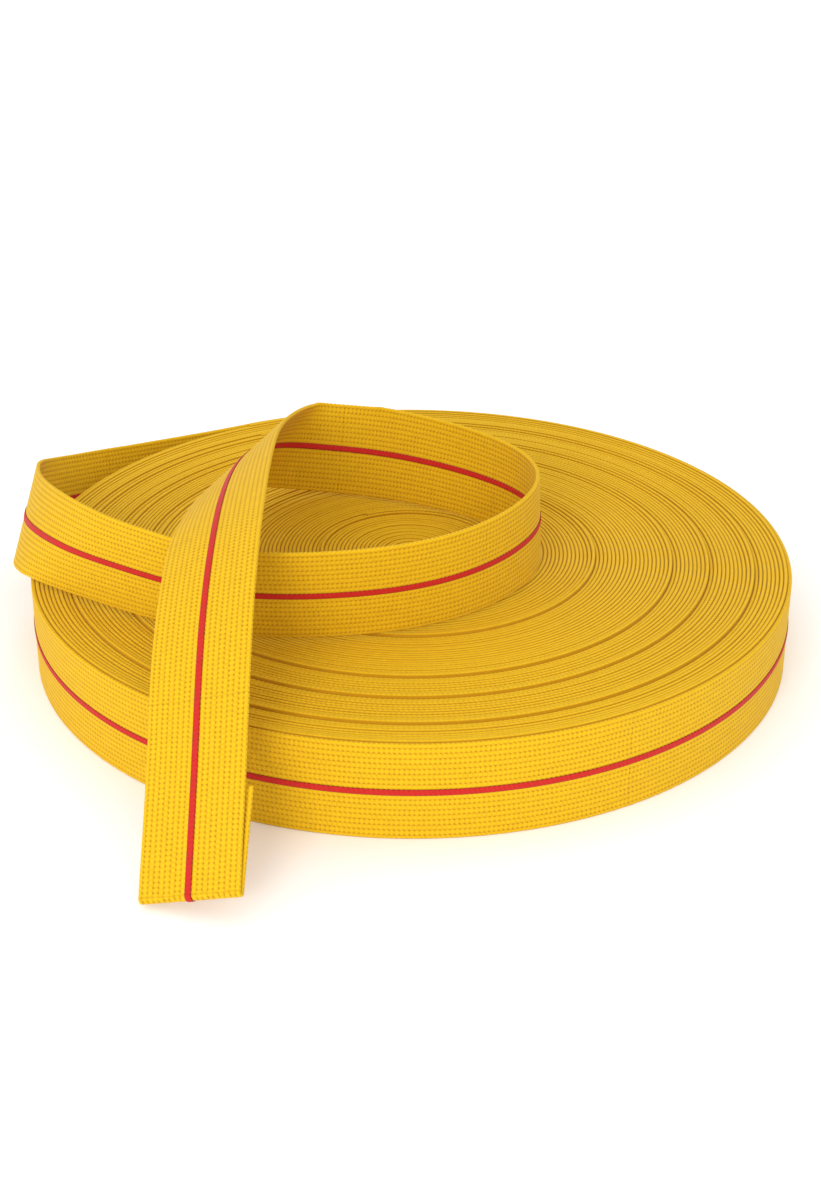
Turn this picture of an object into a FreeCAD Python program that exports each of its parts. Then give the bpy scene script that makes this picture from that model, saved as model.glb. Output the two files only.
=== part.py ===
import FreeCAD, Part
import math
import os

# A roll of flat belt webbing with a red tracer down its middle.  One strip is wound into a disc that
# lies flat; its outer end peels off, bends up over the disc, loops back and hangs over the front.
# Millimetres, +Z up.  The roll is drawn round its own axis, and place_all then moves the shapes so
# that the origin is under the middle of the whole object.

Vec = FreeCAD.Vector

# The webbing
WIDTH = 40.0
THICK = 1.6
TRACER_WIDTH = 2.8
TRACER_PROUD = 0.3          # height of the tracer's top over the face of the webbing
TRACER_GAP = 0.05           # between the tracer and that face, so that the two solids don't overlap

# The roll
ROLL_RADIUS = 160.65        # outer face where the strip peels off
TURN_PITCH = 1.7            # each turn is this much smaller than the one round it
PEEL_ANGLE = 120.0          # degrees, anticlockwise from +X, seen from above
# Groups of turns from the rim inwards: name, turns, height above the floor
TURN_GROUPS = [
    ("outermost_turn", 1, 0.0),
    ("rim_turns", 8, 0.0),
    ("outer_turns", 11, 0.2),
    ("middle_turns", 9, 0.5),
    ("inner_turns", 19, 0.3),
    ("core_turns", 23, 0.0),
    ("centre_turns", 22, 0.2),
]

# The loose end, by distance along the strip's middle line from where it peels off:
# distance mm, bend deg per 100 mm, slant of the bend's crease deg, sideways turn deg per 100 mm
TURN_LENGTH = 100.0         # the length that bends and turns are given over
ROUTE = [
    (0, -18, 0, -3),
    (40, 31, 51, -7),
    (80, 57, 38, -6),
    (110, 60, -12, -2),
    (140, 81, -50, 1),
    (170, 8, -36, 2),
    (200, 68, 8, 3),
    (232, 75, 50, 5),
    (265, 8, 39, 5),
    (310, 67, 10, 6),
    (355, 36, -6, 8),
    (400, 64, -9, 5),
    (440, 65, -11, 2),
    (478, 147, -3, -1),
    (515, 57, 23, 1),
    (555, 7, 52, 12),
    (595, 127, 9, 12),
    (610, 281, -19, -2),
    (630, 106, -45, -27),
    (655, 24, -49, -19),
    (690, 11, -51, 2),
    (735, 20, -51, 9),
    (775, 49, -7, 26),
    (825, 38, -5, 11),
    (875, 5, 30, 7),
    (918.5, -10, 0, -9),
]
ROUTE_END = ROUTE[-1][0]
START_OUT = 0.3             # the loose end starts this far outside the turn, and this far off the floor
START_UP = 0.5
# Named lengths of the loose end: name, start, end, measured along the strip laid flat
HINGE_GAP = 0.8
LENGTHS = [
    ("lead_off", HINGE_GAP, 75),
    ("lower_bend", 75, 140),
    ("upper_bend", 140, 205),
    ("crossing", 205, 310),
    ("loop_front", 310, 420),
    ("loop_right", 420, 515),
    ("loop_back", 515, 595),
    ("top_fold", 595, 690),
    ("bridge", 690 + HINGE_GAP, 775),
    ("hanging_length", 775, 850),
    ("tip_length", 850 + HINGE_GAP, ROUTE_END),
]
TRACER_SHORT = 1.0          # each tracer band stops this far short of a hinge
INNER_START = 14.0          # the inner tracer starts here, clear of the tracer round the rim
FOLD_GAP = 0.6              # between the tip and the end doubled under it
TUCK_LENGTH = 36.0          # of the doubled end
TUCK_SKEW = 3.0             # degrees that the doubled end leans to the right

# Fineness
MARCH_STEP = 1.0
GRID_STEP = 7.0
GRID_ACROSS = 5
LEAST_ROWS = 4
CREASE_REACH = 2 * WIDTH    # how far along a slanted crease can run, and how closely its foot is found
CREASE_ERROR = 0.001

HALF_THICK = THICK / 2
HALF_WIDTH = WIDTH / 2
HALF_TRACER = TRACER_WIDTH / 2
TRACER_FACE = HALF_THICK + TRACER_PROUD


def route_at(distance):
    """Bend, slant and sideways turn at a distance along the route, by straight lines between rows."""
    inside = min(max(distance, 0.0), ROUTE_END)
    after = next(i for i in range(1, len(ROUTE)) if inside <= ROUTE[i][0])
    low, high = ROUTE[after - 1], ROUTE[after]
    part = (inside - low[0]) / (high[0] - low[0])
    return [low[k] + part * (high[k] - low[k]) for k in (1, 2, 3)]


def slope_at(distance):
    return math.tan(math.radians(route_at(distance)[1]))


def march():
    """Place, direction along and direction across, one step after another down the middle line."""
    peel = math.radians(PEEL_ANGLE)
    outward = Vec(math.cos(peel), math.sin(peel), 0)
    place = outward * (ROLL_RADIUS - HALF_THICK + START_OUT) + Vec(0, 0, HALF_WIDTH + START_UP)
    along, across = Vec(-math.sin(peel), math.cos(peel), 0), Vec(0, 0, 1)
    frames = [(place, along, across)]
    for i in range(round(ROUTE_END / MARCH_STEP)):
        middle = (i + 0.5) * MARCH_STEP
        bend, slant, side = route_at(middle)
        axis = (across + along * slope_at(middle)) * bend + across.cross(along) * side
        turn = axis.Length * MARCH_STEP / TURN_LENGTH
        half_way = FreeCAD.Rotation(axis, turn / 2).multVec(along)
        whole = FreeCAD.Rotation(axis, turn)
        place = place + half_way * MARCH_STEP
        along, across = whole.multVec(along), whole.multVec(across)
        frames.append((place, along, across))
    return frames


FRAMES = march()


def frame_at(distance):
    """The frame at any distance; past either end the strip runs straight on."""
    inside = min(max(distance, 0.0), ROUTE_END)
    index = min(int(inside / MARCH_STEP), len(FRAMES) - 2)
    part = inside / MARCH_STEP - index
    place, along, across = [a + (b - a) * part for a, b in zip(FRAMES[index], FRAMES[index + 1])]
    along.normalize()
    across.normalize()
    return place + along * (distance - inside), along, across


def crease_through(length, off_centre):
    """Where on the middle line the crease starts that passes through a point of the flat strip."""
    low, high = length - CREASE_REACH, length + CREASE_REACH
    while high - low > CREASE_ERROR:
        middle = (low + high) / 2
        if middle + off_centre * slope_at(middle) < length:
            low = middle
        else:
            high = middle
    return (low + high) / 2


def strip_point(length, off_centre, depth):
    """A point of the strip, by its length and place across when laid flat and its depth under mid-thickness."""
    distance = crease_through(length, off_centre)
    place, along, across = frame_at(distance)
    crease = across + along * slope_at(distance)
    return place + crease * off_centre + across.cross(along) * depth


def spaced(first, last, count):
    return [first + (last - first) * i / (count - 1) for i in range(count)]


def closed_between(front, back):
    """A solid between two four-sided surfaces, closed with ruled sides."""
    faces = [front.toShape(), back.toShape()]
    u_ends, v_ends = front.bounds()[:2], front.bounds()[2:]
    for u in u_ends:
        faces.append(Part.makeRuledSurface(front.uIso(u).toShape(), back.uIso(u).toShape()))
    for v in v_ends:
        faces.append(Part.makeRuledSurface(front.vIso(v).toShape(), back.vIso(v).toShape()))
    shell = Part.makeShell(faces)
    shell.sewShape()
    solid = Part.makeSolid(shell)
    if solid.Volume < 0:
        solid.reverse()
    return solid


def strip_solid(start, end, left, right, top, bottom, skew=0.0):
    """A length of strip between two places across it and two depths, leaning by skew per mm."""
    rows = max(LEAST_ROWS, math.ceil(abs(end - start) / GRID_STEP) + 1)
    sides = []
    for depth in (top, bottom):
        surface = Part.BSplineSurface()
        surface.interpolate([
            [strip_point(length, off + skew * (start - length), depth)
             for off in spaced(left, right, GRID_ACROSS)]
            for length in spaced(start, end, rows)])
        sides.append(surface)
    return closed_between(*sides)


def half_turns(radius, height):
    """One turn of a spiral wall as two half circles about two centres, the second a little smaller."""
    arcs = []
    for half, sign in enumerate((1, -1)):
        centre = seam_point(sign * TURN_PITCH / 4) + Vec(0, 0, height)
        ring = Part.Circle(centre, Vec(0, 0, 1), radius - (half + 0.5) * TURN_PITCH / 2)
        begin = math.radians(PEEL_ANGLE) - half * math.pi
        arcs.append(Part.Arc(ring, begin - math.pi, begin).toShape())
    return arcs


def seam_line(radius, inner, height):
    lift = Vec(0, 0, height)
    return Part.makeLine(seam_point(radius) + lift, seam_point(inner) + lift)


def single_turn(radius, height):
    """One turn of the strip, with an open seam between its two ends."""
    end = radius - TURN_PITCH
    caps = [seam_line(outer, outer - THICK, height) for outer in (radius, end)]
    edges = half_turns(radius, height) + half_turns(radius - THICK, height) + caps
    return Part.Face(Part.Wire(Part.__sortEdges__(edges))).extrude(Vec(0, 0, WIDTH))


def packed_turns(radius, count, height):
    """Several turns pressed together: the space between two spiral walls, each with a step at the seam."""
    walls = []
    for wall in (radius, radius - count * TURN_PITCH):
        edges = half_turns(wall, height) + [seam_line(wall, wall - TURN_PITCH, height)]
        walls.append(Part.Wire(Part.__sortEdges__(edges)))
    return Part.makeFace(walls, "Part::FaceMakerBullseye").extrude(Vec(0, 0, WIDTH))


def seam_point(radius):
    peel = math.radians(PEEL_ANGLE)
    return Vec(radius * math.cos(peel), radius * math.sin(peel), 0)


def wound_turns():
    shapes, radius = {}, ROLL_RADIUS
    for name, count, height in TURN_GROUPS:
        shapes[name] = packed_turns(radius, count, height) if count > 1 else single_turn(radius, height)
        radius -= count * TURN_PITCH
    return shapes


def rim_tracer():
    """The tracer on the outer face of the outermost turn."""
    low, wide = HALF_WIDTH - HALF_TRACER, 4 * ROLL_RADIUS
    band = Part.makeBox(wide, wide, TRACER_WIDTH, Vec(-wide / 2, -wide / 2, low))
    proud = single_turn(ROLL_RADIUS + TRACER_PROUD, 0)
    return proud.common(band).cut(single_turn(ROLL_RADIUS + TRACER_GAP, 0))


def loose_lengths():
    return {name: strip_solid(start, end, -HALF_WIDTH, HALF_WIDTH, -HALF_THICK, HALF_THICK)
            for name, start, end in LENGTHS}


def hinge_between(first, second):
    return 0 < second[1] - first[2] <= HINGE_GAP


def tracers():
    """Thin raised bands along the middle of both faces."""
    shapes = {"rim_tracer": rim_tracer()}
    for i, (name, start, end) in enumerate(LENGTHS):
        if i > 0 and hinge_between(LENGTHS[i - 1], LENGTHS[i]):
            start += TRACER_SHORT
        if i < len(LENGTHS) - 1 and hinge_between(LENGTHS[i], LENGTHS[i + 1]):
            end -= TRACER_SHORT
        for face, sign in (("outer", -1), ("inner", 1)):
            first = max(start, INNER_START) if face == "inner" else start
            depths = sign * (HALF_THICK + TRACER_GAP), sign * TRACER_FACE
            shapes[f"{name}_tracer_{face}"] = strip_solid(first, end, -HALF_TRACER, HALF_TRACER, *depths)
    return shapes


def doubled_end():
    """The end folded under the tip: a tight half ring and the tucked length behind it."""
    inner, outer = FOLD_GAP / 2, FOLD_GAP / 2 + THICK
    under = HALF_THICK + FOLD_GAP
    corners = [strip_point(ROUTE_END, off, HALF_THICK + inner) for off in (-HALF_WIDTH, HALF_WIDTH)]
    hinge = (corners[1] - corners[0]).normalize()
    along = frame_at(ROUTE_END)[1]
    back = hinge.cross(along)
    ring = []
    for radius in (outer, inner):
        ends = [corners[0] - back * radius, corners[0] + along * radius, corners[0] + back * radius]
        ring.append(Part.Arc(*ends).toShape())
    caps = [Part.makeLine(ring[0].Vertexes[i].Point, ring[1].Vertexes[i].Point) for i in (0, 1)]
    outline = Part.Wire(Part.__sortEdges__(ring + caps))
    fold = Part.Face(outline).extrude(corners[1] - corners[0])
    skew = math.tan(math.radians(TUCK_SKEW))
    tuck = strip_solid(ROUTE_END, ROUTE_END - TUCK_LENGTH, -HALF_WIDTH, HALF_WIDTH, under, under + THICK, skew)
    return {"bottom_fold": fold, "tucked_end": tuck}


def place_all(shapes):
    """Move everything so that the origin is under the middle of the whole object."""
    box = Part.makeCompound(list(shapes.values())).optimalBoundingBox()
    shift = Vec(-(box.XMin + box.XMax) / 2, -(box.YMin + box.YMax) / 2, -box.ZMin)
    for shape in shapes.values():
        shape.translate(shift)
    print("roll centre", tuple(round(c, 3) for c in shift), "size", box.XLength, box.YLength, box.ZLength)


def main():
    os.makedirs("parts", exist_ok=True)
    shapes = {**wound_turns(), **loose_lengths(), **doubled_end(), **tracers()}
    place_all(shapes)
    for name, shape in shapes.items():
        print(name, shape.isValid(), shape.ShapeType, len(shape.Solids), round(shape.Volume))
        shape.exportStep(f"parts/{name}.step")


main()
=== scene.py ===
import math

import bmesh
import bpy
import numpy as np
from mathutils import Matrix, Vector


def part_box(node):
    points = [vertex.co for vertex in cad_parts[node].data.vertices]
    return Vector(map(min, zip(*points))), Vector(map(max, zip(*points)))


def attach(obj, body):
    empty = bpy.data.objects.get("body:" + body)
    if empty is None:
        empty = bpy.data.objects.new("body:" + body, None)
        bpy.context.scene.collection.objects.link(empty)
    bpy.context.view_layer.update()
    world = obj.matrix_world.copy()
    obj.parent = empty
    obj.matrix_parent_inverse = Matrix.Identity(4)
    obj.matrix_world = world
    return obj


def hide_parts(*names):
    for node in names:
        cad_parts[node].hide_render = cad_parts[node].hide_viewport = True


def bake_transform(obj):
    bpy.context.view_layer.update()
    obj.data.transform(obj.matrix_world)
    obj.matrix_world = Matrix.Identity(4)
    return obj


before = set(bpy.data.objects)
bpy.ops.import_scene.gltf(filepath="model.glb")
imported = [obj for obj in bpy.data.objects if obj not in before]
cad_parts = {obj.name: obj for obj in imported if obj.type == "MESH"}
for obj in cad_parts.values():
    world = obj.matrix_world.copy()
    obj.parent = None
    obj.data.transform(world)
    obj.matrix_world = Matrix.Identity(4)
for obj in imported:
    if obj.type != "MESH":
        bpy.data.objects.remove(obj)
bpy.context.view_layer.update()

# A roll of flat belt webbing with a red tracer down its middle, as an add-on: an operator for each
# group of pieces, and one for the floor, light and camera.  Metres throughout, the frame's own axes.

bl_info = {
    "name": "Belt Webbing Roll",
    "version": (1, 0, 0),
    "blender": (4, 5, 0),
    "location": "View3D > Sidebar > Webbing",
    "description": "Builds a roll of woven belt webbing with its loose end looped over the top",
    "category": "Add Mesh",
}

MM = 0.001

# The webbing
WIDTH = 40.0 * MM
THICK = 1.6 * MM
HALF_WIDTH = WIDTH / 2
HALF_THICK = THICK / 2

# The roll
ROLL_RADIUS = 160.65 * MM
TURN_PITCH = 1.7 * MM
PEEL_ANGLE = math.radians(120)
START_OUT = 0.3 * MM
START_UP = 0.5 * MM
# Groups of turns from the rim inwards: node, turns
TURN_GROUPS = [
    ("rim_turns", 8),
    ("outer_turns", 11),
    ("middle_turns", 9),
    ("inner_turns", 19),
    ("core_turns", 23),
    ("centre_turns", 22),
]

# The loose end, by distance along the strip's middle line from where it peels off:
# distance mm, bend deg per 100 mm, slant of the bend's crease deg, sideways turn deg per 100 mm
ROUTE = [
    (0, -18, 0, -3),
    (40, 31, 51, -7),
    (80, 57, 38, -6),
    (110, 60, -12, -2),
    (140, 81, -50, 1),
    (170, 8, -36, 2),
    (200, 68, 8, 3),
    (232, 75, 50, 5),
    (265, 8, 39, 5),
    (310, 67, 10, 6),
    (355, 36, -6, 8),
    (400, 64, -9, 5),
    (440, 65, -11, 2),
    (478, 147, -3, -1),
    (515, 57, 23, 1),
    (555, 7, 52, 12),
    (595, 127, 9, 12),
    (610, 281, -19, -2),
    (630, 106, -45, -27),
    (655, 24, -49, -19),
    (690, 11, -51, 2),
    (735, 20, -51, 9),
    (775, 49, -7, 26),
    (825, 38, -5, 11),
    (875, 5, 30, 7),
    (918.5, -10, 0, -9),
]
ROUTE_END = ROUTE[-1][0] * MM
# Named lengths of the loose end: node, start mm, end mm, body, body before its joint, how it is held
LENGTHS = [
    ("lead_off", 0, 75, "loose_loop", "roll", "draped"),
    ("lower_bend", 75, 140, "loose_loop", None, "draped"),
    ("upper_bend", 140, 205, "loose_loop", None, "draped"),
    ("crossing", 205, 310, "loose_loop", None, "laid"),
    ("loop_front", 310, 420, "loose_loop", None, "laid"),
    ("loop_right", 420, 515, "loose_loop", None, "laid"),
    ("loop_back", 515, 595, "loose_loop", None, "laid"),
    ("top_fold", 595, 690, "loose_loop", None, "folded"),
    ("bridge", 690, 775, "tail", "loose_loop", "draped"),
    ("hanging_length", 775, 850, "tail", None, "hung"),
    ("tip_length", 850, ROUTE[-1][0], "tip", "tail", "hung"),
]

# The doubled end
FOLD_GAP = 0.6 * MM
TUCK_LENGTH = 36.0 * MM
TUCK_SKEW = math.radians(3)
FOLD_RING = HALF_THICK + FOLD_GAP / 2
FOLD_AROUND = math.pi * FOLD_RING

# The weave's shape
WOVEN_CORNER = 0.6 * MM     # rounding of the strip's edges where its faces show
TURN_CORNER = 0.42 * MM     # rounding of the edges of the turns inside the outermost one
FACE_MARGIN = 0.3           # how far a face's points stop short of its corners, in steps
WANDER = 0.12               # how far a rib's picks drift, in picks
WANDER_REACH = 11 * MM      # length of strip over which they drift by one radian
RIB_SHIFT = 2.4             # how much further on the drift is on the next rib, in radians
PIT_SIDE, PIT_END, PIT_CORNER = 0.22, 0.22, 0.56    # depth of a stitch's sides, ends and corners
TRACER_SLANT = 0.33         # how far a tracer stitch leans from its middle to its edge, in picks
TRACER_END, TRACER_SIDE = 0.42, 0.35                # depth of a tracer stitch's ends and sides
TRACER_FLARE = 1.5          # how much deeper the tracer's stitches are along its edges
TRACER_CORNER = 0.2         # rounding of the tracer's section, as a share of its depth
EDGE_LOOP_DEPTH = 0.16 * MM
SEAM_REACH = 1e-7           # points of a skin's two long edges closer than this are joined

# Painted shade in the weave's pits, between the loops of yarn along the edges and between the wound
# turns: it takes the colour from the surface's towards the darker shade colour
FACE_PIT_SHADE, EDGE_LOOP_SHADE = 1.4, 0.6                 # in a pit of a face, between loops of an edge
TURN_EDGE_SHADE, TURN_LOOP_SHADE = 0.18, 0.62     # edges of the wound turns: all over, between loops
TURN_FACE_SHADE = 0.85                             # faces of the wound turns, which lie together

# Heights of the wound turns' upper edges, in uneven turns: positive is lower
CHANCE = 20                 # with a group's first turn, where its random heights start
MOSTLY_HIGH = 1.5           # power of the random heights: more turns stand high than low
PROUD_TURNS = (-1.7, -0.8)  # the outermost two of each group
SUNK_TURNS = 1.5            # the innermost ones
RIPPLES = 4                 # waves round the roll, added up
RIPPLE_SHARE = 0.35
RIPPLE_DRIFT = 0.9          # how much further round each wave is on the next turn, in radians
PEEL_EASE = 60 * MM         # length over which the outermost turn rises to meet the loose end

# Floor, light and camera
FLOOR_HALF = 6.0
ROOM_LIGHT = 1.15
LAMP_PLACE = (-0.45, -1.45, 0.65)
LAMP_SIZE, LAMP_POWER = 0.6, 10.5
CAMERA_SENSOR, CAMERA_LENS = 36.0, 57.81
CAMERA_PLACE = (0.0, -0.7395, 0.3951)               # from the roll's axis
CAMERA_TURN = (62.81, -0.222, 0.111)                # degrees


class WebbingSizes(bpy.types.PropertyGroup):
    """Sizes of the weave and of the tracer."""

    pick: bpy.props.FloatProperty(
        name="Pick spacing", description="Length of one stitch of the weave along the webbing",
        default=1.8 * MM, unit="LENGTH", precision=5)
    rib: bpy.props.FloatProperty(
        name="Rib spacing", description="Width of one rib of the weave",
        default=2.15 * MM, unit="LENGTH", precision=5)
    edge_loop: bpy.props.FloatProperty(
        name="Edge loop spacing",
        description="Length of one loop of yarn along the edge of a wound turn",
        default=1.9 * MM, unit="LENGTH", precision=5)
    relief: bpy.props.FloatProperty(
        name="Weave depth", description="How deep the pits between the stitches are",
        default=0.32 * MM, unit="LENGTH", precision=5)
    tracer_width: bpy.props.FloatProperty(
        name="Tracer width", description="Width of the red line",
        default=2.8 * MM, unit="LENGTH", precision=5)
    tracer_proud: bpy.props.FloatProperty(
        name="Tracer height", description="How far the tracer's stitches stand above the webbing",
        default=0.30 * MM, unit="LENGTH", precision=5)
    edge_wander: bpy.props.FloatProperty(
        name="Uneven turns",
        description="How far the edges of the turns stand above or below each other",
        default=0.45 * MM, unit="LENGTH", precision=5)


class WebbingColours(bpy.types.PropertyGroup):
    """Colours of the yarns."""

    yarn: bpy.props.FloatVectorProperty(
        name="Yarn", description="Colour of the webbing's surface", subtype="COLOR",
        default=(0.71, 0.425, 0.005))
    # Painted shade: the colour the yarn is darkened towards in the weave's pits and between the turns
    pit: bpy.props.FloatVectorProperty(
        name="Pits", description="Colour deep between the stitches and the turns", subtype="COLOR",
        default=(0.43, 0.195, 0.001))
    tracer: bpy.props.FloatVectorProperty(
        name="Tracer", description="Colour of the tracer's yarn", subtype="COLOR",
        default=(0.52, 0.016, 0.010))
    floor: bpy.props.FloatVectorProperty(
        name="Floor", description="Colour of the floor", subtype="COLOR",
        default=(0.96, 0.96, 0.96))


# ---------------------------------------------------------------- where the strip goes

def roll_centre():
    """The roll's axis.  The outermost turn narrows by one pitch, which puts its middle a quarter off."""
    low, high = (np.array(corner, float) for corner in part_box("outermost_turn"))
    middle = (low + high) / 2 - TURN_PITCH / 4
    return np.array([middle[0], middle[1], 0.0])


CENTRE = roll_centre()


def turned(axis):
    """Rotation matrices, one for each rotation vector."""
    angle = np.linalg.norm(axis, axis=1)[:, None, None] + 1e-12
    x, y, z = (axis / angle[:, 0]).T
    zero = np.zeros_like(x)
    cross = np.array([[zero, -z, y], [z, zero, -x], [-y, x, zero]]).transpose(2, 0, 1)
    return np.eye(3) + np.sin(angle) * cross + (1 - np.cos(angle)) * cross @ cross


class Route:
    """The middle line of the loose end, stepped along from where it leaves the roll."""

    step = 1.0 * MM
    halvings = 24   # enough to find a crease within a hundredth of a micron

    def __init__(self):
        table = np.array(ROUTE, float)
        self.at = table[:, 0] * MM
        self.bend, self.slant, self.side = np.radians(table[:, 1:]).T
        count = int(ROUTE_END / self.step)
        middle = (np.arange(count) + 0.5) * self.step
        bend, side = (np.interp(middle, self.at, column) / (100 * MM)
                      for column in (self.bend, self.side))
        axis = np.stack([bend, bend * self.slope(middle), side], 1) * self.step
        whole, half = turned(axis), turned(axis / 2)
        outward = np.array([math.cos(PEEL_ANGLE), math.sin(PEEL_ANGLE), 0.0])
        across, along = np.array([0, 0, 1.0]), np.array([-outward[1], outward[0], 0.0])
        place = CENTRE + outward * (ROLL_RADIUS - HALF_THICK + START_OUT)
        place = place + across * (HALF_WIDTH + START_UP)
        frames, places = [np.stack([across, along, np.cross(across, along)], 1)], [place]
        for i in range(count):
            places.append(places[-1] + frames[-1] @ half[i][:, 1] * self.step)
            frames.append(frames[-1] @ whole[i])
        self.places, self.frames = np.array(places), np.array(frames)
        self.last = count * self.step

    def slope(self, distance):
        return np.tan(np.interp(distance, self.at, self.slant))

    def point(self, length, off_centre, depth):
        """Points of the strip, from their length and place across when laid flat, and their depth."""
        low, high = length - 2 * WIDTH, length + 2 * WIDTH
        for _ in range(self.halvings):
            middle = (low + high) / 2
            short = middle + off_centre * self.slope(middle) < length
            low, high = np.where(short, middle, low), np.where(short, high, middle)
        distance = (low + high) / 2
        inside = np.clip(distance, 0, self.last)
        index = np.minimum((inside / self.step).astype(int), len(self.places) - 2)
        part = (inside / self.step - index)[:, None]
        place = self.places[index] * (1 - part) + self.places[index + 1] * part
        more = part[:, :, None]
        frames = self.frames[index] * (1 - more) + self.frames[index + 1] * more
        across, along, under = frames[:, :, 0], frames[:, :, 1], frames[:, :, 2]
        crease = across + along * self.slope(distance)[:, None]
        place = place + along * (distance - inside)[:, None]
        return place + crease * off_centre[:, None] + under * depth[:, None]


ROUTE_LINE = Route()


def wound(length, off_centre, depth):
    """Points of the wound strip; its length is negative, counted inwards from the roll's surface."""
    count = int(ROLL_RADIUS / TURN_PITCH * 2)
    radii = ROLL_RADIUS - (np.arange(count) + 0.5) * TURN_PITCH / 2 - HALF_THICK
    ends = np.concatenate([[0], np.cumsum(math.pi * radii)])
    distance = np.maximum(-length, 0)
    half = np.clip(np.searchsorted(ends, distance, side="right") - 1, 0, count - 1)
    angle = PEEL_ANGLE - half * math.pi - (distance - ends[half]) / radii[half]
    radius = radii[half] - depth
    shift = np.where(half % 2 == 0, 1, -1) * TURN_PITCH / 4
    x = shift * math.cos(PEEL_ANGLE) + radius * np.cos(angle)
    y = shift * math.sin(PEEL_ANGLE) + radius * np.sin(angle)
    return CENTRE + np.stack([x, y, HALF_WIDTH + off_centre], 1)


def wound_length(first_turn, turns):
    """Length of strip in some of the turns, counting from the roll's surface."""
    halves = np.arange(2 * first_turn, 2 * (first_turn + turns))
    return float(np.sum(math.pi * (ROLL_RADIUS - (halves + 0.5) * TURN_PITCH / 2 - HALF_THICK)))


# ---------------------------------------------------------------- the weave

def stitches(length, off_centre, sizes):
    """Height of the weave, from 0 on top of a stitch to -1 in a pit.  Every other rib is half a
    pick further on."""
    rib = off_centre / sizes.rib
    number = np.round(rib)
    beside = 2 * (rib - number)
    wander = WANDER * np.sin(length / WANDER_REACH + RIB_SHIFT * number)
    pick = length / sizes.pick + 0.5 * (number % 2) + wander
    along = 2 * (pick - np.round(pick))
    low_side, low_end = beside ** 2, along ** 2
    return -(PIT_SIDE * low_side + PIT_END * low_end + PIT_CORNER * low_side * low_end)


def tracer_stitches(length, off_centre, sizes):
    """Height of the tracer: slanted stitches, one to a pick, rounded off towards both edges."""
    across = 2 * off_centre / sizes.tracer_width
    pick = length / sizes.pick + TRACER_SLANT * across
    along = 2 * (pick - np.round(pick))
    return -(TRACER_END * along ** 2 + TRACER_SIDE * across ** 4)


def edge_loops(length, spacing):
    """Height of the loops of yarn along an edge, from 0 on top of a loop to -1 between two."""
    return -0.5 + 0.5 * np.cos(2 * math.pi * length / spacing)


def strip_section(half_width, top, bottom, steps, edge_steps, corner):
    """Points round a strip's section from one edge round to itself, with the way that each one faces.
    The two faces are flat, with points a step apart, and the corners are quarter rounds."""
    points, facing = [], []
    corner_turn = np.linspace(0, math.pi / 2, edge_steps + 1)
    for side, face in ((-1, top), (1, top), (1, bottom), (-1, bottom)):
        sign = -1 if face == top else 1
        for turn in (corner_turn if side * sign > 0 else corner_turn[::-1]):
            way = np.array([side * math.cos(turn), sign * math.sin(turn)])
            middle = np.array([side * (half_width - corner), face - sign * corner])
            points.append(middle + corner * way)
            facing.append(way)
        if (side, face) in ((-1, top), (1, bottom)):
            step = steps[0] if face == top else steps[1]
            most = int((half_width - corner) / step - FACE_MARGIN)
            for place in np.arange(-most, most + 1) * step:
                points.append(np.array([-side * place, face]))
                facing.append(np.array([0, sign]))
    return np.array(points), np.array(facing)


def woven_section(sizes, under_step):
    """The webbing's section, with points close enough for the weave on its outer face, and with
    points the given step apart under it."""
    steps = (sizes.rib / 4, under_step)
    return strip_section(HALF_WIDTH, -HALF_THICK, HALF_THICK, steps, 2, WOVEN_CORNER)


def closed_strip(name, start, end, step, section, place, relief):
    """A closed skin round a length of strip: a grid rolled up round the section, then capped."""
    points, facing = section
    around, rows = len(points), max(2, round(abs(end - start) / step))
    shape = bmesh.new()
    bmesh.ops.create_grid(shape, x_segments=rows, y_segments=around, size=0.5)
    mesh = bpy.data.meshes.new(name)
    shape.to_mesh(mesh)
    flat = np.empty(3 * len(mesh.vertices))
    mesh.vertices.foreach_get("co", flat)
    flat = flat.reshape(-1, 3)
    row = np.rint((flat[:, 0] + 0.5) * rows)
    index = np.rint((flat[:, 1] + 0.5) * around).astype(int)
    length = start + (end - start) * row / rows
    ring = index % around
    off, depth, way = points[ring, 0], points[ring, 1], facing[ring]
    # The relief gives each point's height and how much painted shade it gets
    height, painted_shade = relief(length, off, depth, way)
    off, depth = off + way[:, 0] * height, depth + way[:, 1] * height
    mesh.vertices.foreach_set("co", place(length, off, depth).ravel())
    uv = mesh.uv_layers.new(name="Strip")
    corners = np.empty(len(mesh.loops), int)
    mesh.loops.foreach_get("vertex_index", corners)
    lengthways = np.stack([length, off], 1)[corners]
    uv.data.foreach_set("uv", lengthways.ravel())
    # The painted shade is kept on the points for the material
    mesh.attributes.new("painted_shade", "FLOAT", "POINT").data.foreach_set("value", painted_shade)
    shape.clear()
    shape.from_mesh(mesh)
    seam = [v for v in shape.verts if len(v.link_faces) < 4]
    bmesh.ops.remove_doubles(shape, verts=seam, dist=SEAM_REACH)
    bmesh.ops.holes_fill(shape, edges=[e for e in shape.edges if e.is_boundary], sides=0)
    bmesh.ops.recalc_face_normals(shape, faces=shape.faces)
    shape.to_mesh(mesh)
    shape.free()
    sides = np.empty(len(mesh.polygons), int)
    mesh.polygons.foreach_get("loop_total", sides)
    mesh.polygons.foreach_set("use_smooth", sides <= 4)
    piece = bpy.data.objects.new(name, mesh)
    bpy.context.scene.collection.objects.link(piece)
    return piece


def webbing_relief(sizes):
    """Relief of a length seen close to: the weave on both faces, and loops of yarn along the edges."""
    def relief(length, off, depth, way):
        faced = np.abs(way[:, 1])
        weave = stitches(length, off, sizes)
        loops = edge_loops(length, sizes.pick)
        height = sizes.relief * (faced * weave + (1 - faced) * loops)
        # The second value is painted shade, darker in the weave's pits and between the edge loops
        return height, -(FACE_PIT_SHADE * faced * weave + EDGE_LOOP_SHADE * (1 - faced) * loops)
    return relief


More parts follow.
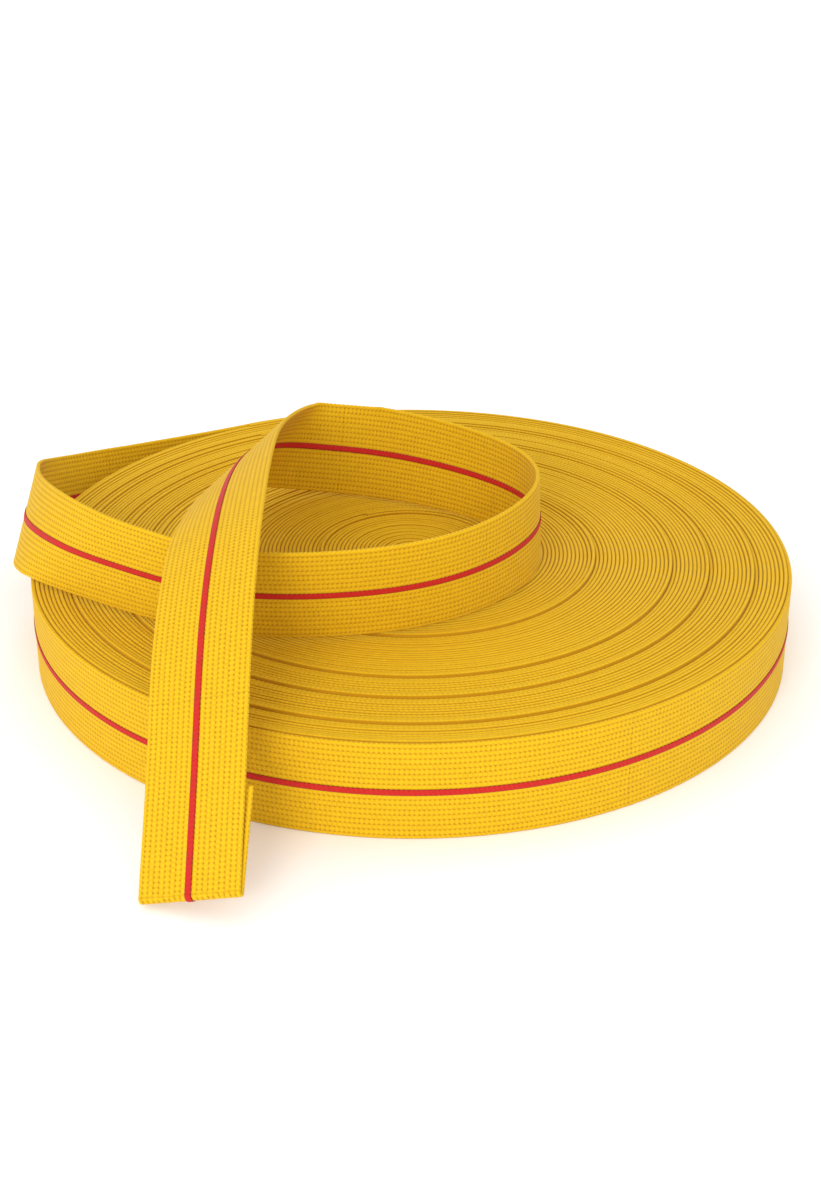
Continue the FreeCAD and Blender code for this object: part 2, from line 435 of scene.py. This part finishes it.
def tracer_relief(sizes, face):
    """Relief of the tracer's outer side; its foot inside the webbing stays level."""
    def relief(length, off, depth, way):
        weave = tracer_stitches(length, off, sizes)
        outer = way[:, 1] * face > -0.5
        flared = sizes.tracer_proud * (1 + TRACER_FLARE * np.abs(way[:, 0]))
        # The second value is painted shade, darker between the tracer's stitches
        return np.where(outer, flared * weave, 0.0), -weave
    return relief


def turn_relief(sizes):
    """Relief of the wound turns: loops of yarn along the edges, and flat faces between the turns, with
    painted shade between the loops and on the faces between the turns.
    """
    def relief(length, off, depth, way):
        loops = edge_loops(length, sizes.edge_loop)
        edge = np.abs(way[:, 0]) > 0.1
        # Painted shade between the loops along the edges, and on the faces where the turns lie together
        painted_shade = -TURN_EDGE_SHADE - TURN_LOOP_SHADE * loops
        return np.where(edge, EDGE_LOOP_DEPTH * loops, 0.0), np.where(edge, painted_shade, TURN_FACE_SHADE)
    return relief


# ---------------------------------------------------------------- materials

def node_material(name):
    made = bpy.data.materials.new(name)
    made.use_nodes = True
    nodes, links = made.node_tree.nodes, made.node_tree.links
    nodes.clear()
    output, shader = nodes.new("ShaderNodeOutputMaterial"), nodes.new("ShaderNodeBsdfPrincipled")
    links.new(shader.outputs["BSDF"], output.inputs["Surface"])
    return made, nodes, links, shader


def set_inputs(node, values):
    for name, value in values.items():
        node.inputs[name].default_value = value


def yarn_material(name, surface, deep, roughness, sheen):
    """Woven yarn: with painted shade darker in the pits and between the turns, slightly uneven in
    colour, with fine fibres along the stitches.
    """
    made, nodes, links, shader = node_material(name)
    set_inputs(shader, {"Roughness": roughness, "Specular IOR Level": 0.2,
                        "Sheen Weight": sheen, "Sheen Roughness": 0.5})
    strip = nodes.new("ShaderNodeUVMap")
    strip.uv_map = "Strip"
    # Painted shade: a point attribute from the relief mixes the surface colour towards the darker shade
    # colour
    painted_shade = nodes.new("ShaderNodeAttribute")
    painted_shade.attribute_name = "painted_shade"
    depth = nodes.new("ShaderNodeMapRange")
    set_inputs(depth, {"From Min": 0.15, "From Max": 0.95})
    links.new(painted_shade.outputs["Fac"], depth.inputs["Value"])
    mottle = nodes.new("ShaderNodeTexNoise")
    set_inputs(mottle, {"Scale": 260.0, "Detail": 3.0})
    links.new(strip.outputs["UV"], mottle.inputs["Vector"])
    uneven = nodes.new("ShaderNodeMapRange")
    set_inputs(uneven, {"To Min": 0.90, "To Max": 1.08})
    links.new(mottle.outputs["Fac"], uneven.inputs["Value"])
    mix = nodes.new("ShaderNodeMix")
    mix.data_type = "RGBA"
    mix.inputs[6].default_value = (*surface, 1)
    mix.inputs[7].default_value = (*deep, 1)
    links.new(depth.outputs["Result"], mix.inputs[0])
    tint = nodes.new("ShaderNodeVectorMath")
    tint.operation = "SCALE"
    links.new(mix.outputs[2], tint.inputs[0])
    links.new(uneven.outputs["Result"], tint.inputs["Scale"])
    links.new(tint.outputs["Vector"], shader.inputs["Base Color"])
    stretch = nodes.new("ShaderNodeMapping")
    set_inputs(stretch, {"Scale": (900.0, 5200.0, 1.0), "Rotation": (0.0, 0.0, 0.35)})
    links.new(strip.outputs["UV"], stretch.inputs["Vector"])
    fibres = nodes.new("ShaderNodeTexNoise")
    set_inputs(fibres, {"Scale": 1.0, "Detail": 4.0})
    links.new(stretch.outputs["Vector"], fibres.inputs["Vector"])
    bump = nodes.new("ShaderNodeBump")
    set_inputs(bump, {"Strength": 0.5, "Distance": 0.12 * MM})
    links.new(fibres.outputs["Fac"], bump.inputs["Height"])
    links.new(bump.outputs["Normal"], shader.inputs["Normal"])
    return made


def webbing_material():
    found = bpy.data.materials.get("yellow_yarn")
    colours = bpy.context.scene.webbing_colours
    # The pit colour is painted shade, for the pits and the grooves between the turns
    return found or yarn_material("yellow_yarn", colours.yarn, colours.pit, 0.85, 0.04)


def tracer_material():
    found = bpy.data.materials.get("red_yarn")
    colours = bpy.context.scene.webbing_colours
    # Painted shade: the tracer's red, darkened, for the pits between its stitches
    deep = tuple(0.45 * part for part in colours.tracer)
    return found or yarn_material("red_yarn", colours.tracer, deep, 0.7, 0.06)


def finish_piece(piece, material, slot, body, *nodes, joint_from=None, start=0.0):
    """Material, body and nodes of a piece; its slot is not used.  One that crosses a joint is baked
    where it lies and not hung from its body."""
    piece.data.materials.append(material)
    if nodes:
        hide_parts(*nodes)
    if joint_from:
        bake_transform(piece)
    else:
        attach(piece, body)


# ---------------------------------------------------------------- operators

class WEBBING_OT_turns(bpy.types.Operator):
    """Wind the turns inside the outermost one, group by group"""

    bl_idname = "webbing.turns"
    bl_label = "Wound turns"

    def execute(self, context):
        sizes = context.scene.webbing_sizes
        section = strip_section(HALF_WIDTH, -HALF_THICK, HALF_THICK, (WIDTH, WIDTH), 1, TURN_CORNER)
        done = 1
        for node, turns in TURN_GROUPS:
            start, long = wound_length(0, done), wound_length(done, turns)
            place = uneven_turns(done, turns, sizes.edge_wander)
            piece = closed_strip(f"woven_{node}", -start, -start - long, sizes.edge_loop / 2, section,
                                 place, turn_relief(sizes))
            finish_piece(piece, webbing_material(), "webbing", "roll", node)
            done += turns
        return {"FINISHED"}


def uneven_turns(first, turns, wander):
    """Where a group's turns lie: wound, with their edges at slightly different heights.  The
    outermost two turns of each group stand proud and the innermost is sunk, so that a step shows
    between groups."""
    chance = np.random.default_rng(CHANCE + first)
    levels = chance.uniform(0, 1, first + turns + 2) ** MOSTLY_HIGH
    levels[[first, first + 1]] = PROUD_TURNS
    levels[first + turns - 1:] = SUNK_TURNS
    waves = chance.uniform(0, 2 * math.pi, 8)

    def place(length, off, depth):
        points = wound(length, off, depth)
        away = points[:, :2] - CENTRE[:2]
        angle = np.arctan2(away[:, 1], away[:, 0])
        radius = np.hypot(away[:, 0], away[:, 1]) + depth
        turn = np.maximum(0, (ROLL_RADIUS - HALF_THICK - radius) / TURN_PITCH)
        low = np.floor(turn).astype(int)
        part = turn - np.floor(turn)
        level = levels[low] * (1 - part) + levels[low + 1] * part
        ripple = sum(np.sin((k + 1) * angle + waves[k] + RIPPLE_DRIFT * k * turn)
                     for k in range(RIPPLES)) / (2 * RIPPLES)
        drop = wander * (level + RIPPLE_SHARE * (1 + ripple))
        points[:, 2] -= np.where(off > 0, drop, 0.0)
        return points
    return place


class WEBBING_OT_outermost_turn(bpy.types.Operator):
    """Wind the outermost turn, whose woven outer face shows, with its tracer"""

    bl_idname = "webbing.outermost_turn"
    bl_label = "Outermost turn"

    def execute(self, context):
        sizes = context.scene.webbing_sizes
        section = woven_section(sizes, WIDTH)
        whole = wound_length(0, 1)
        for part, name in enumerate(("woven_outermost_turn", "woven_outermost_turn_far")):
            start, end = -whole * part / 2, -whole * (part + 1) / 2
            piece = closed_strip(name, start, end, sizes.pick / 4, section, peeling,
                                 webbing_relief(sizes))
            finish_piece(piece, webbing_material(), "webbing", "roll", "outermost_turn")
        line = tracer_section(sizes, -1)
        piece = closed_strip("yarn_rim", 0, -whole, sizes.pick / 6, line, peeling,
                             tracer_relief(sizes, -1))
        finish_piece(piece, tracer_material(), "tracer", "roll", "rim_tracer")
        return {"FINISHED"}


def peeling(length, off, depth):
    """The outermost turn eases outwards and upwards to meet the loose end where it peels off."""
    points = wound(length, off, depth)
    near = np.clip(1 + length / PEEL_EASE, 0, 1)
    ease = near * near * (3 - 2 * near)
    outward = points[:, :2] - CENTRE[:2]
    outward /= np.linalg.norm(outward, axis=1)[:, None]
    points[:, :2] += outward * (START_OUT * ease)[:, None]
    points[:, 2] += START_UP * ease
    return points


def tracer_section(sizes, face):
    """The tracer's section: a low crown on one face of the strip, with its foot inside the webbing."""
    outer = face * (HALF_THICK + sizes.tracer_proud)
    inner = face * (HALF_THICK - sizes.relief)
    depth = abs(outer - inner)
    top, bottom = (outer, inner) if face < 0 else (inner, outer)
    step = sizes.tracer_width / 6
    return strip_section(sizes.tracer_width / 2, top, bottom, (step, step), 1, TRACER_CORNER * depth)


class WEBBING_OT_loose_end(bpy.types.Operator):
    """Lay the loose end in its named lengths, each with its tracer on both faces"""

    bl_idname = "webbing.loose_end"
    bl_label = "Loose end"

    def execute(self, context):
        sizes = context.scene.webbing_sizes
        section = woven_section(sizes, sizes.rib / 4)
        for node, start, end, body, joint_from, held in LENGTHS:
            start, end = start * MM, end * MM
            piece = closed_strip(f"woven_{node}", start, end, sizes.pick / 4, section,
                                 ROUTE_LINE.point, webbing_relief(sizes))
            finish_piece(piece, webbing_material(), "webbing", body, node,
                         joint_from=joint_from, start=start)
            for face, side in (("outer", -1), ("inner", 1)):
                name = f"{node}_tracer_{face}"
                line = closed_strip(f"yarn_{node}_{face}", start, end, sizes.pick / 6,
                                    tracer_section(sizes, side), ROUTE_LINE.point,
                                    tracer_relief(sizes, side))
                finish_piece(line, tracer_material(), "tracer", body, name,
                             joint_from=joint_from, start=start)
        return {"FINISHED"}


class WEBBING_OT_doubled_end(bpy.types.Operator):
    """Fold the free end under the tip"""

    bl_idname = "webbing.doubled_end"
    bl_label = "Doubled end"

    def execute(self, context):
        sizes = context.scene.webbing_sizes
        section, long = woven_section(sizes, sizes.rib / 4), FOLD_AROUND + TUCK_LENGTH
        piece = closed_strip("woven_doubled_end", 0, long, sizes.pick / 4, section, doubled,
                             webbing_relief(sizes))
        finish_piece(piece, webbing_material(), "webbing", "tip", "bottom_fold", "tucked_end")
        line = closed_strip("yarn_doubled_end", 0, long, sizes.pick / 6, tracer_section(sizes, -1),
                            doubled, tracer_relief(sizes, -1))
        finish_piece(line, tracer_material(), "tracer", "tip")
        return {"FINISHED"}


def doubled(length, off, depth):
    """A tight half ring at the floor, then the doubled length under the tip, leaning a little to
    the right.  Depth is counted towards the middle of the ring."""
    turn = np.clip(length / FOLD_RING, 0, math.pi)
    beyond = (FOLD_RING - depth) * np.sin(turn)
    under = FOLD_RING - (FOLD_RING - depth) * np.cos(turn)
    tucked = np.maximum(length - FOLD_AROUND, 0)
    points = ROUTE_LINE.point(ROUTE_END - tucked, off + math.tan(TUCK_SKEW) * tucked, under)
    return points + tip_direction() * beyond[:, None]


def tip_direction():
    zero = np.zeros(1)
    ends = [ROUTE_LINE.point(zero + at, zero, zero)[0] for at in (ROUTE_END, ROUTE_END + MM)]
    return (ends[1] - ends[0]) / np.linalg.norm(ends[1] - ends[0])


# ---------------------------------------------------------------- floor, light and camera

class WEBBING_OT_stage(bpy.types.Operator):
    """Set up the floor, the soft light and the camera"""

    bl_idname = "webbing.stage"
    bl_label = "Floor, light and camera"

    def execute(self, context):
        shape = bmesh.new()
        bmesh.ops.create_grid(shape, x_segments=2, y_segments=2, size=FLOOR_HALF)
        mesh = bpy.data.meshes.new("floor")
        shape.to_mesh(mesh)
        shape.free()
        floor = bpy.data.objects.new("floor", mesh)
        context.scene.collection.objects.link(floor)
        made, _, _, shader = node_material("white_paper")
        set_inputs(shader, {"Base Color": (*context.scene.webbing_colours.floor, 1), "Roughness": 0.9})
        mesh.materials.append(made)
        self.light(context)
        self.camera(context)
        return {"FINISHED"}

    def light(self, context):
        context.scene.view_settings.view_transform = "Standard"
        world = bpy.data.worlds.new("soft_room")
        world.use_nodes = True
        set_inputs(world.node_tree.nodes["Background"],
                   {"Color": (1, 1, 1, 1), "Strength": ROOM_LIGHT})
        context.scene.world = world
        place = Vector(LAMP_PLACE)
        lamp = bpy.data.lights.new("key", "AREA")
        lamp.size, lamp.energy = LAMP_SIZE, LAMP_POWER
        held = bpy.data.objects.new("key", lamp)
        held.location = place
        held.rotation_euler = place.to_track_quat("Z", "Y").to_euler()
        context.scene.collection.objects.link(held)

    def camera(self, context):
        lens = bpy.data.cameras.new("camera")
        lens.sensor_width, lens.lens = CAMERA_SENSOR, CAMERA_LENS
        holder = bpy.data.objects.new("camera", lens)
        context.scene.collection.objects.link(holder)
        holder.location = Vector(CENTRE) + Vector(CAMERA_PLACE)
        holder.rotation_euler = [math.radians(turn) for turn in CAMERA_TURN]
        context.scene.camera = holder


class WEBBING_PT_panel(bpy.types.Panel):
    """Buttons for the operators, and the webbing's sizes and colours"""

    bl_label = "Webbing roll"
    bl_idname = "WEBBING_PT_panel"
    bl_space_type = "VIEW_3D"
    bl_region_type = "UI"
    bl_category = "Webbing"

    def draw(self, context):
        for operator in OPERATORS:
            self.layout.operator(operator.bl_idname)
        for group in (context.scene.webbing_sizes, context.scene.webbing_colours):
            for name in group.__annotations__:
                self.layout.prop(group, name)


OPERATORS = (
    WEBBING_OT_turns,
    WEBBING_OT_outermost_turn,
    WEBBING_OT_loose_end,
    WEBBING_OT_doubled_end,
    WEBBING_OT_stage,
)
CLASSES = (WebbingSizes, WebbingColours, *OPERATORS, WEBBING_PT_panel)


def register():
    for each in CLASSES:
        bpy.utils.register_class(each)
    bpy.types.Scene.webbing_sizes = bpy.props.PointerProperty(type=WebbingSizes)
    bpy.types.Scene.webbing_colours = bpy.props.PointerProperty(type=WebbingColours)


def unregister():
    del bpy.types.Scene.webbing_colours
    del bpy.types.Scene.webbing_sizes
    for each in reversed(CLASSES):
        bpy.utils.unregister_class(each)


def main():
    register()
    bpy.ops.webbing.turns()
    bpy.ops.webbing.outermost_turn()
    bpy.ops.webbing.loose_end()
    bpy.ops.webbing.doubled_end()
    bpy.ops.webbing.stage()


if __name__ == "__main__":
    main()
